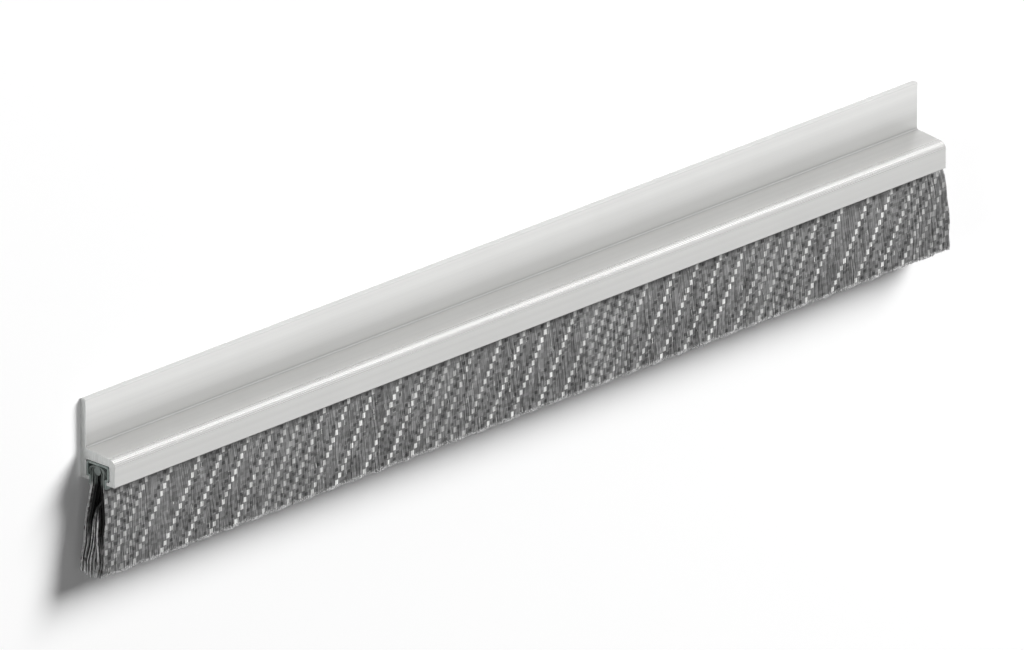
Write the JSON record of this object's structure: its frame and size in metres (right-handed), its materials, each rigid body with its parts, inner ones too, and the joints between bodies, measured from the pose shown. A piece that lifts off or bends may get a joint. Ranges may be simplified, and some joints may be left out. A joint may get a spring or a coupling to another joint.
{
  "type": "brush seal strip",
  "caption": "Brush seal strip: an extruded aluminium carrier with a fixing flange holds a steel-backed brush of crimped filaments in its slot.",
  "frame": {"origin": "on the plane of the carrier's back, at the middle of the strip's length and of its height from brush tips to flange edge", "axes": "+X along the strip, +Y from the brush tips towards the edge of the fixing flange, +Z out of the carrier's front face"},
  "size_m": [0.2548, 0.0374, 0.0098],
  "materials": {
    "satin_aluminium": "satin anodised, with fine lines along the extrusion",
    "zinc_backing": "roll-formed strip with a dull grey-green zinc coat",
    "core_steel": "drawn steel wire, dull",
    "filament": "grey crimped filaments with square-cut ends"
  },
  "bodies": {
    "root": {"carrier_profile": "satin_aluminium", "backing_channel": "zinc_backing", "core_wire": "core_steel", "bristle_curtain": "filament"}
  },
  "joints": []
}
